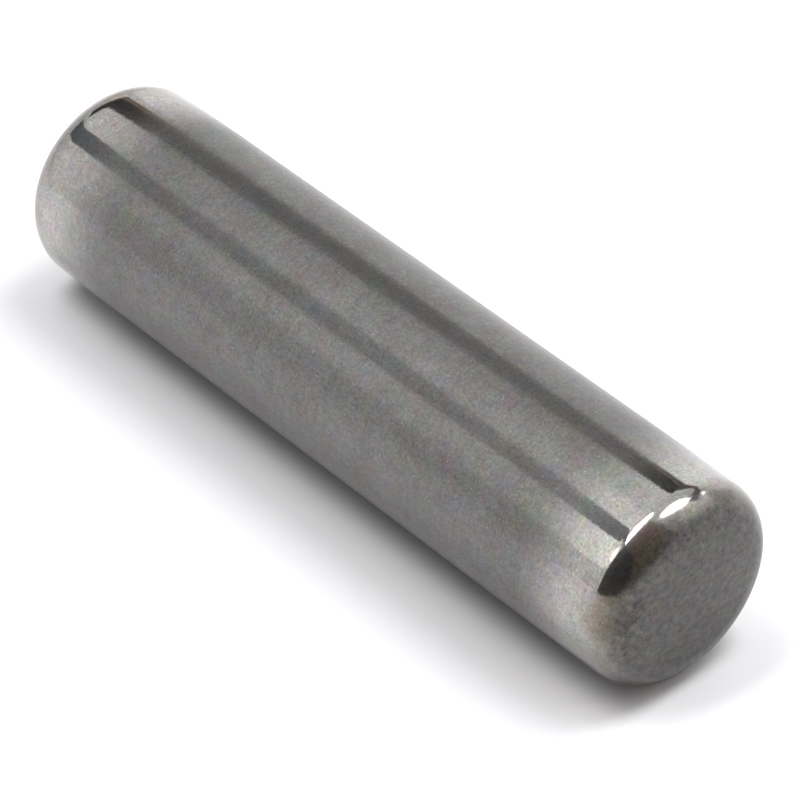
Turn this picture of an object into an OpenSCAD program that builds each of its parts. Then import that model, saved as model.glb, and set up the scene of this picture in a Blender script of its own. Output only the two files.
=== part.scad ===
// Cam roller pin: a solid ground steel pin that a cam roller turns on.
// It stands on one end face, with its axis along +Z and the origin at the middle of that face.
// All sizes are in millimetres.

/* [Pin] */
// Diameter of the ground land that carries the roller
pin_diameter = 10; // [6:0.5:20]
// Length over the two end faces
pin_length = 40; // [20:1:80]

/* [Ends] */
// Radius that rounds each end face into the side
edge_radius = 1.7; // [0.3:0.1:2.5]
// Length of the crowned stretch between the land and each edge radius
crown_run = 3.2; // [2:0.1:6]
// How far the side falls below the land over the crowned stretch
crown_drop = 0.035; // [0.01:0.005:0.1]

/* [Hidden] */

pin_radius = pin_diameter / 2;
steel_colour = [0.58, 0.585, 0.60];

// The land of full diameter begins at this height and ends as far below the top face.
land_start = edge_radius + crown_run;
land_length = pin_length - 2 * land_start;
// The crown is one shallow arc that leaves the land smoothly and has fallen by crown_drop
// where the edge radius takes over.
crown_radius = (crown_run * crown_run + crown_drop * crown_drop) / (2 * crown_drop);
end_face_radius = pin_radius - crown_drop - edge_radius;

fn_crown = 1440;
fn_edge = 72;
fn_round = 144;

// Half section of the stretch of full diameter
module land_section() {
    translate([0, land_start])
        square([pin_radius, land_length]);
}

// Half section of the crowned stretch at the bottom end
module crown_section() {
    intersection() {
        translate([0, edge_radius])
            square([pin_radius, crown_run]);
        translate([pin_radius - crown_radius, land_start])
            circle(r = crown_radius, $fn = fn_crown);
    }
}

// Half section of the flat end face and its rounded edge at the bottom end
module edge_section() {
    square([end_face_radius, edge_radius]);
    intersection() {
        translate([end_face_radius, 0])
            square([edge_radius, edge_radius]);
        translate([end_face_radius, edge_radius])
            circle(r = edge_radius, $fn = fn_edge);
    }
}

module end_section() {
    crown_section();
    edge_section();
}

module roller_pin() {
    color(steel_colour)
        rotate_extrude($fn = fn_round) {
            land_section();
            end_section();
            translate([0, pin_length])
                mirror([0, 1])
                    end_section();
        }
}

roller_pin();
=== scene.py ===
import math

import bpy
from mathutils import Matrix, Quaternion, Vector


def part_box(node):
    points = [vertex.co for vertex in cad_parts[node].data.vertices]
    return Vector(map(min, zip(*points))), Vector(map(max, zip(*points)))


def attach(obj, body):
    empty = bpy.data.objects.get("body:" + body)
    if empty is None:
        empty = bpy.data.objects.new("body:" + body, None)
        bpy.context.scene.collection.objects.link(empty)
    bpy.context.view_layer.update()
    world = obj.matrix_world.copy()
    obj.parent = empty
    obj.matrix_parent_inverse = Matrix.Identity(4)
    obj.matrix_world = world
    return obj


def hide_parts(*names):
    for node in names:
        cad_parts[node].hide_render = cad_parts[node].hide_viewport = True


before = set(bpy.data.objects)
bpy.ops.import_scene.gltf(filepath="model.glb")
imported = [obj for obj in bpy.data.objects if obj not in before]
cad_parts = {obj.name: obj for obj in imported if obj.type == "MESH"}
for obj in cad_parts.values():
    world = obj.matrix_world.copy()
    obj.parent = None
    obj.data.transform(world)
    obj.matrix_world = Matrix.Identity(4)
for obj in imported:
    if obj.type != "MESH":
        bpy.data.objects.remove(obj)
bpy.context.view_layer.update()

# ---- Camera ----
# A long lens looks at the pin from the side and rolls over, so that the pin lies across the
# picture with its top end near and low on the right. The bench is the plane behind the pin.
LENS_MM = 200
CAMERA_AIM = Vector((0.00045, 0.00036, 0.02167))
CAMERA_TURN = math.radians(-51.93)
CAMERA_RISE = math.radians(34.84)
CAMERA_ROLL = math.radians(126.1)
CAMERA_DISTANCE = 0.1977
CLIP_NEAR = 0.01
CLIP_FAR = 10

camera_data = bpy.data.cameras.new("camera")
camera_data.lens = LENS_MM
camera_data.clip_start = CLIP_NEAR
camera_data.clip_end = CLIP_FAR
camera = bpy.data.objects.new("camera", camera_data)
bpy.context.scene.collection.objects.link(camera)
bpy.context.scene.camera = camera
camera_side = Vector((
    math.cos(CAMERA_RISE) * math.cos(CAMERA_TURN),
    math.cos(CAMERA_RISE) * math.sin(CAMERA_TURN),
    math.sin(CAMERA_RISE),
))
camera.location = CAMERA_AIM + CAMERA_DISTANCE * camera_side
level_view = (-camera_side).to_track_quat("-Z", "Y")
camera.rotation_euler = (level_view @ Quaternion((0, 0, 1), CAMERA_ROLL)).to_euler()


# ---- Bench ----
# The white bench top that the pin lies against with its side, with a painted shadow: a darker strip
# beside the pin.
# It is one flat sheet, painted on the pin's side only, so that the pin shows from every side.
class Socket:
    """One output of a shader's nodes: sums on it add Math nodes, and node() adds any other."""

    def __init__(self, tree, output=None):
        self.tree = tree
        self.output = output

    def node(self, kind, settings=None, inputs=None, output=0):
        """Adds a node, sets its settings, then gives each input its value or link."""
        made = self.tree.nodes.new(kind)
        for name, value in (settings or {}).items():
            setattr(made, name, value)
        for name, value in (inputs or {}).items():
            if isinstance(value, Socket):
                self.tree.links.new(value.output, made.inputs[name])
            else:
                made.inputs[name].default_value = value
        return Socket(self.tree, made.outputs[output] if len(made.outputs) else None)

    def math(self, operation, first, second=0.0):
        return self.node("ShaderNodeMath", {"operation": operation}, {0: first, 1: second})

    def vector_math(self, operation, first, second):
        return self.node("ShaderNodeVectorMath", {"operation": operation}, {0: first, 1: second})

    def scaled(self, vector, factor):
        return self.node("ShaderNodeVectorMath", {"operation": "SCALE"}, {0: vector, "Scale": factor})

    def axis(self, name):
        """The X, Y or Z of a vector."""
        return self.node("ShaderNodeSeparateXYZ", None, {0: self}, name)

    def fade(self, start, end):
        """0 where the value is start, 1 where it is end, and a soft step between them."""
        return self.node("ShaderNodeMapRange", {"interpolation_type": "SMOOTHSTEP"}, {
            "Value": self,
            "From Min": start,
            "From Max": end,
        })

    def noise(self, place, scale, detail, output=0):
        inputs = {"Vector": place, "Scale": scale, "Detail": detail}
        return self.node("ShaderNodeTexNoise", None, inputs, output)

    def mix(self, amount, first, second):
        return self.node("ShaderNodeMix", {"data_type": "RGBA"}, {0: amount, 6: first, 7: second}, 2)

    def __add__(self, other):
        return self.math("ADD", self, other)

    def __sub__(self, other):
        return self.math("SUBTRACT", self, other)

    def __rsub__(self, other):
        return self.math("SUBTRACT", other, self)

    def __mul__(self, other):
        return self.math("MULTIPLY", self, other)

    __radd__ = __add__
    __rmul__ = __mul__


def new_material(name):
    material = bpy.data.materials.new(name)
    material.use_nodes = True
    material.node_tree.nodes.clear()
    return material, Socket(material.node_tree)


PIN_LOW, PIN_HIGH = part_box("roller_pin")
BENCH_SIZE = 2.0
BENCH_GAP = 0.00001
BENCH_WHITE = (0.855, 0.855, 0.88, 1)
PAINTED_SHADOW_GREY = (0.385, 0.385, 0.39, 1)
SHADOW_STRIP_HALF_WIDTH = 0.002
SHADOW_STRIP_HALF_LENGTH = 0.018
SHADOW_STRIP_FADE = 0.0023


def bench_white():
    """White all over, and darker in a strip along the pin, where a shadow is painted into the colour.
    """
    material, shader = new_material("bench_white")
    place = shader.node("ShaderNodeTexCoord", None, None, "Object")
    across = shader.math("ABSOLUTE", place.axis("X"))
    along = shader.math("ABSOLUTE", place.axis("Y"))
    # Painted shadow: a soft darker strip on the bench along the pin, standing in for its contact
    # shadow.
    painted_shadow = across.fade(SHADOW_STRIP_HALF_WIDTH + SHADOW_STRIP_FADE, SHADOW_STRIP_HALF_WIDTH)
    painted_shadow = painted_shadow * along.fade(SHADOW_STRIP_HALF_LENGTH + SHADOW_STRIP_FADE, SHADOW_STRIP_HALF_LENGTH)
    colour = shader.mix(painted_shadow, BENCH_WHITE, PAINTED_SHADOW_GREY)
    paint = shader.node("ShaderNodeBsdfDiffuse", None, {"Color": colour})
    clear = shader.node("ShaderNodeBsdfTransparent")
    from_behind = shader.node("ShaderNodeNewGeometry", None, None, "Backfacing")
    sheet = shader.node("ShaderNodeMixShader", None, {0: from_behind, 1: paint, 2: clear})
    shader.node("ShaderNodeOutputMaterial", None, {"Surface": sheet})
    return material


bpy.ops.object.select_all(action="DESELECT")
bpy.ops.mesh.primitive_plane_add(
    size=BENCH_SIZE,
    location=(0, PIN_HIGH.y + BENCH_GAP, PIN_HIGH.z / 2),
    rotation=(math.radians(90), 0, 0),
)
bench = bpy.context.object
bench.name = "bench"
bench.data.materials.append(bench_white())


# ---- Studio ----
# A white room with one soft lamp over the back of the pin, one over its front, and weaker lamps
# lower down. Painted cards stand where the steel mirrors the camera, the ceiling and the arms,
# cables, hook and clamp of the lamp stands.
ROOM_COLOUR = (1, 1, 1, 1)
ROOM_LEVEL = 1.0
LAMP_DISTANCE = 0.6
CARD_DISTANCE = 0.32
CEILING_DISTANCE = 0.52
CAMERA_BLACK = (0.08, 0.08, 0.078, 1)
WALL_TAN = (0.34, 0.29, 0.22, 1)
CEILING_BROWN = (0.22, 0.175, 0.16, 1)
STAND_BLACK = (0.03, 0.03, 0.03, 1)
STAND_BROWN = (0.26, 0.19, 0.14, 1)
STAND_GREY = (0.14, 0.16, 0.18, 1)
CABLE_GREY = (0.12, 0.12, 0.12, 1)
PIN_MIDDLE = (PIN_LOW + PIN_HIGH) / 2


def bench_direction(turn, rise):
    """Where degrees of turn round the bench's upright and of rise above its top point to."""
    turn, rise = math.radians(turn), math.radians(rise)
    return Vector((
        math.cos(rise) * math.cos(turn),
        -math.sin(rise),
        math.cos(rise) * math.sin(turn),
    ))


def card(name, shade, corners, distance=CARD_DISTANCE):
    """A card of one shade, whose four corners lie at the given turns and rises from the pin."""
    material, shader = new_material(name)
    paint = shader.node("ShaderNodeBsdfDiffuse", None, {"Color": shade})
    shader.node("ShaderNodeOutputMaterial", None, {"Surface": paint})
    bpy.ops.object.select_all(action="DESELECT")
    bpy.ops.mesh.primitive_plane_add()
    sheet = bpy.context.object
    sheet.name = name
    for polygon in sheet.data.polygons:
        for number, corner in zip(polygon.vertices, corners):
            sheet.data.vertices[number].co = PIN_MIDDLE + distance * bench_direction(*corner)
    sheet.data.materials.append(material)
    sheet.visible_camera = False


card("camera_card", CAMERA_BLACK, [(-15, 2), (60, 2), (50, 36), (-16, 52)])
card("camera_side_card", WALL_TAN, [(60, 2), (98, 2), (95, 60), (50, 36)])
card("ceiling_card", CEILING_BROWN, [(-12, 12), (102, 14), (94, 66), (-12, 84)], CEILING_DISTANCE)
card("far_arm", STAND_BLACK, [(-146.8, 36), (-144, 50), (-93, 31), (-100.6, 22)])
card("far_arm_edge", STAND_BROWN, [(-147.4, 31.5), (-146.8, 36), (-100.6, 22), (-103, 19)])
card("near_arm", STAND_GREY, [(-46.6, 58.8), (-37, 46), (-84.4, 15.2), (-93.9, 21.7)])
card("near_cable", STAND_BLACK, [(-48, 49), (-52, 58), (-14, 53), (-14, 50)])
card("far_cable", CABLE_GREY, [(-146, 31), (-146, 46), (-166, 37), (-166, 33)])
card("far_hook", CABLE_GREY, [(-163, 32.5), (-163, 36.5), (174, 43), (174, 37)])
card("far_clamp", CABLE_GREY, [(-176, 34), (-178, 44), (152, 51), (154, 39)])


def soft_lamp(name, turn, rise, width, height, watts):
    """An oval lamp turned to the pin, placed and sized in degrees as seen from there."""
    data = bpy.data.lights.new(name, "AREA")
    data.shape = "ELLIPSE"
    data.size = LAMP_DISTANCE * math.radians(width)
    data.size_y = LAMP_DISTANCE * math.radians(height)
    data.energy = watts
    lamp = bpy.data.objects.new(name, data)
    bpy.context.scene.collection.objects.link(lamp)
    lamp.location = PIN_MIDDLE + LAMP_DISTANCE * bench_direction(turn, rise)
    lamp.rotation_euler = (PIN_MIDDLE - lamp.location).to_track_quat("-Z", "Y").to_euler()
    lamp.visible_camera = False


soft_lamp("back_lamp", turn=155, rise=66, width=36, height=22, watts=1.9)
soft_lamp("back_glow", turn=142, rise=36, width=40, height=44, watts=0.42)
soft_lamp("front_lamp", turn=-38, rise=68.5, width=42, height=12, watts=1.62)
soft_lamp("front_glow", turn=-66, rise=60, width=24, height=22, watts=0.025)
soft_lamp("far_glow", turn=-156, rise=14, width=42, height=52, watts=0.22)
soft_lamp("side_lamp", turn=-25, rise=38, width=16, height=12, watts=0.09)
soft_lamp("side_glow", turn=-34, rise=34, width=30, height=24, watts=0.11)
soft_lamp("small_lamp", turn=173, rise=34, width=3, height=9, watts=0.07)

world = bpy.data.worlds.new("white_room")
bpy.context.scene.world = world
world.use_nodes = True
world.node_tree.nodes.clear()
room = Socket(world.node_tree)
glow = room.node("ShaderNodeBackground", None, {"Color": ROOM_COLOUR, "Strength": ROOM_LEVEL})
room.node("ShaderNodeOutputWorld", None, {"Surface": glow})
bpy.context.scene.view_settings.view_transform = "Standard"


# ---- Roller pin ----
# The pin is one bar of bearing steel: parted off, turned with a rounded edge at both ends,
# hardened, ground along its side and left duller on its two end faces.
PIN_RADIUS = PIN_HIGH.x
PIN_LENGTH = PIN_HIGH.z
EDGE_RADIUS = 0.0017
CROWN_RUN = 0.0032
CROWN_DROP = 0.000035
AROUND = 256
EDGE_STEPS = 24
CROWN_STEPS = 8
SAME_HEIGHT = 1e-7
SMOOTH_ANGLE = math.radians(30)


def turned_radius(depth):
    """Radius of the pin at a depth below its nearer end face."""
    if depth < EDGE_RADIUS:
        rise = EDGE_RADIUS - depth
        return PIN_RADIUS - CROWN_DROP - EDGE_RADIUS + math.sqrt(EDGE_RADIUS ** 2 - rise ** 2)
    crown_left = max(EDGE_RADIUS + CROWN_RUN - depth, 0)
    return PIN_RADIUS - CROWN_DROP * (crown_left / CROWN_RUN) ** 2


depths = []
for step in range(1, EDGE_STEPS + 1):
    depths.append(EDGE_RADIUS * (1 - math.cos(math.pi / 2 * step / EDGE_STEPS)))
for step in range(1, CROWN_STEPS + 1):
    depths.append(EDGE_RADIUS + CROWN_RUN * step / CROWN_STEPS)
cut_heights = depths + [PIN_LENGTH - depth for depth in depths]

bpy.ops.object.select_all(action="DESELECT")
bpy.ops.mesh.primitive_cylinder_add(
    vertices=AROUND,
    radius=PIN_RADIUS,
    depth=PIN_LENGTH,
    location=(0, 0, PIN_LENGTH / 2),
)
pin = bpy.context.object
pin.name = "ground_roller_pin"
bpy.ops.object.transform_apply(location=True, rotation=True, scale=True)
bpy.ops.object.mode_set(mode="EDIT")
bpy.ops.mesh.select_mode(type="VERT")
for height in cut_heights:
    bpy.ops.mesh.select_all(action="SELECT")
    bpy.ops.mesh.bisect(plane_co=(0, 0, height), plane_no=(0, 0, 1))
for height in [0, PIN_LENGTH] + cut_heights:
    bpy.ops.mesh.select_all(action="DESELECT")
    bpy.ops.object.mode_set(mode="OBJECT")
    for vertex in pin.data.vertices:
        vertex.select = abs(vertex.co.z - height) < SAME_HEIGHT
    bpy.ops.object.mode_set(mode="EDIT")
    shrink = turned_radius(min(height, PIN_LENGTH - height)) / PIN_RADIUS
    bpy.ops.transform.resize(value=(shrink, shrink, 1), center_override=(0, 0, height))
bpy.ops.object.mode_set(mode="OBJECT")
bpy.ops.object.shade_smooth_by_angle(angle=SMOOTH_ANGLE)

# Places and depths in the steel's finish are in millimetres.
MM = 1000.0
POLISH_STARTS = 6.3
POLISH_FULL = 1.8
EDGE_STARTS = 2.0
FACE_STARTS = 0.9
FACE_FULL = 0.2
LINE_STRETCH = (0.7, 0.7, 9)
BROWN_PATCH_PLACE = (4.67, -1.05, 39.0)
BROWN_PATCH_REACH = 1.9
BROWN_PATCH_FULL = 0.3
UNTINTED = (1, 1, 1, 1)
WARM_STEEL = (1.0, 0.96, 0.915, 1)
COOL_STEEL = (0.99, 0.98, 0.965, 1)
POLISHED_STEEL = (1.0, 0.965, 0.92, 1)
EDGE_STEEL = (1.0, 0.95, 0.88, 1)
BROWN_PATCH_TINT = (0.7, 0.66, 0.58, 1)
STAIN_STRENGTH = (0.38, 0.36, 0.4)
STAIN_BASE = (0.812, 0.82, 0.8)
SIDE_SHADE = 0.172
POLISH_SHADE_GAIN = 0.222
EDGE_SHADE_LOSS = 0.288
FACE_SHADE_LOSS = 0.012
LINE_MARK = 0.3
CLOUD_MARK = 0.2
MOTTLE_MARK = 0.4
FLECK_MARK = 0.7
SPECK_MARK = 0.5
RELIEF_STRENGTH = 0.1
RELIEF_HEIGHT = 0.00001
BRIGHT_ROUGHNESS = 0.15
BRIGHT_POLISH_LOSS = 0.09
BRIGHT_EDGE_GAIN = 0.12
BRIGHT_GRAIN_GAIN = 0.04
SATIN_ROUGHNESS = 0.5
SATIN_POLISH_LOSS = 0.18
SIDE_HAZE = 0.56
POLISH_HAZE_LOSS = 0.44
FACE_HAZE_GAIN = 0.72


def ground_steel():
    """Satin where the side is ground, brighter near the ends, duller on the end faces."""
    material, shader = new_material("ground_steel")
    place = shader.scaled(shader.node("ShaderNodeTexCoord", None, None, "Object"), MM)
    height = place.axis("Z")
    depth = shader.math("MINIMUM", height, PIN_LENGTH * MM - height)
    polished = depth.fade(POLISH_STARTS, POLISH_FULL)
    turned_in = depth.fade(EDGE_STARTS, 0.0)
    face = depth.fade(FACE_STARTS, FACE_FULL)

    lines_place = shader.vector_math("MULTIPLY", place, LINE_STRETCH)
    grinding_lines = shader.noise(lines_place, scale=1.0, detail=3.0) - 0.5
    grain = shader.noise(place, scale=8.0, detail=4.0) - 0.5
    stain = shader.noise(place, scale=1.3, detail=4.0, output="Color")
    stain = shader.node("ShaderNodeVectorMath", {"operation": "MULTIPLY_ADD"}, {
        0: stain,
        1: STAIN_STRENGTH,
        2: STAIN_BASE,
    })
    specks = shader.noise(place, scale=3.4, detail=1.0).fade(0.7, 0.78)
    flecks = shader.noise(place, scale=11.0, detail=1.0).fade(0.68, 0.76)
    mottle = shader.noise(place, scale=3.0, detail=4.0) - 0.5
    cloud = shader.noise(place, scale=0.6, detail=2.0) - 0.5

    brightness = SIDE_SHADE + polished * POLISH_SHADE_GAIN - turned_in * EDGE_SHADE_LOSS
    brightness = brightness - face * FACE_SHADE_LOSS
    worn = 1.0 + grain + grinding_lines * LINE_MARK + cloud * CLOUD_MARK
    worn = worn + mottle * MOTTLE_MARK + flecks * FLECK_MARK
    worn = worn + face * (mottle - specks * SPECK_MARK)

    tone = shader.mix(cloud.fade(-0.2, 0.2), WARM_STEEL, COOL_STEEL)
    tone = shader.mix(polished, tone, POLISHED_STEEL)
    tone = shader.mix(depth.fade(1.7, 1.0) * depth.fade(0.1, 0.8), tone, EDGE_STEEL)
    tone = shader.vector_math("MULTIPLY", tone, stain)
    # A darker brownish patch on the steel, round a given place near the rounded edge at the top end.
    from_brown_patch = shader.node("ShaderNodeVectorMath", {"operation": "DISTANCE"}, {
        0: place,
        1: BROWN_PATCH_PLACE,
    }, "Value")
    brown_patch = (from_brown_patch + mottle).fade(BROWN_PATCH_REACH, BROWN_PATCH_FULL)
    tone = shader.vector_math("MULTIPLY", tone, shader.mix(brown_patch, UNTINTED, BROWN_PATCH_TINT))
    colour = shader.scaled(tone, brightness * worn)

    relief = shader.node("ShaderNodeBump", None, {
        "Strength": RELIEF_STRENGTH,
        "Distance": RELIEF_HEIGHT,
        "Height": grain + grinding_lines,
    })
    bright_roughness = BRIGHT_ROUGHNESS - polished * BRIGHT_POLISH_LOSS
    bright_roughness = bright_roughness + turned_in * BRIGHT_EDGE_GAIN + grain * BRIGHT_GRAIN_GAIN
    bright_metal = shader.node("ShaderNodeBsdfPrincipled", None, {
        "Base Color": colour,
        "Metallic": 1.0,
        "Roughness": bright_roughness,
        "Normal": relief,
    })
    satin_metal = shader.node("ShaderNodeBsdfPrincipled", None, {
        "Base Color": colour,
        "Metallic": 1.0,
        "Roughness": SATIN_ROUGHNESS - polished * SATIN_POLISH_LOSS,
        "Normal": relief,
    })
    haze = SIDE_HAZE - polished * POLISH_HAZE_LOSS + face * FACE_HAZE_GAIN
    metal = shader.node("ShaderNodeMixShader", None, {0: haze, 1: bright_metal, 2: satin_metal})
    shader.node("ShaderNodeOutputMaterial", None, {"Surface": metal})
    return material


pin.data.materials.append(ground_steel())
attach(pin, "root")
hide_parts("roller_pin")
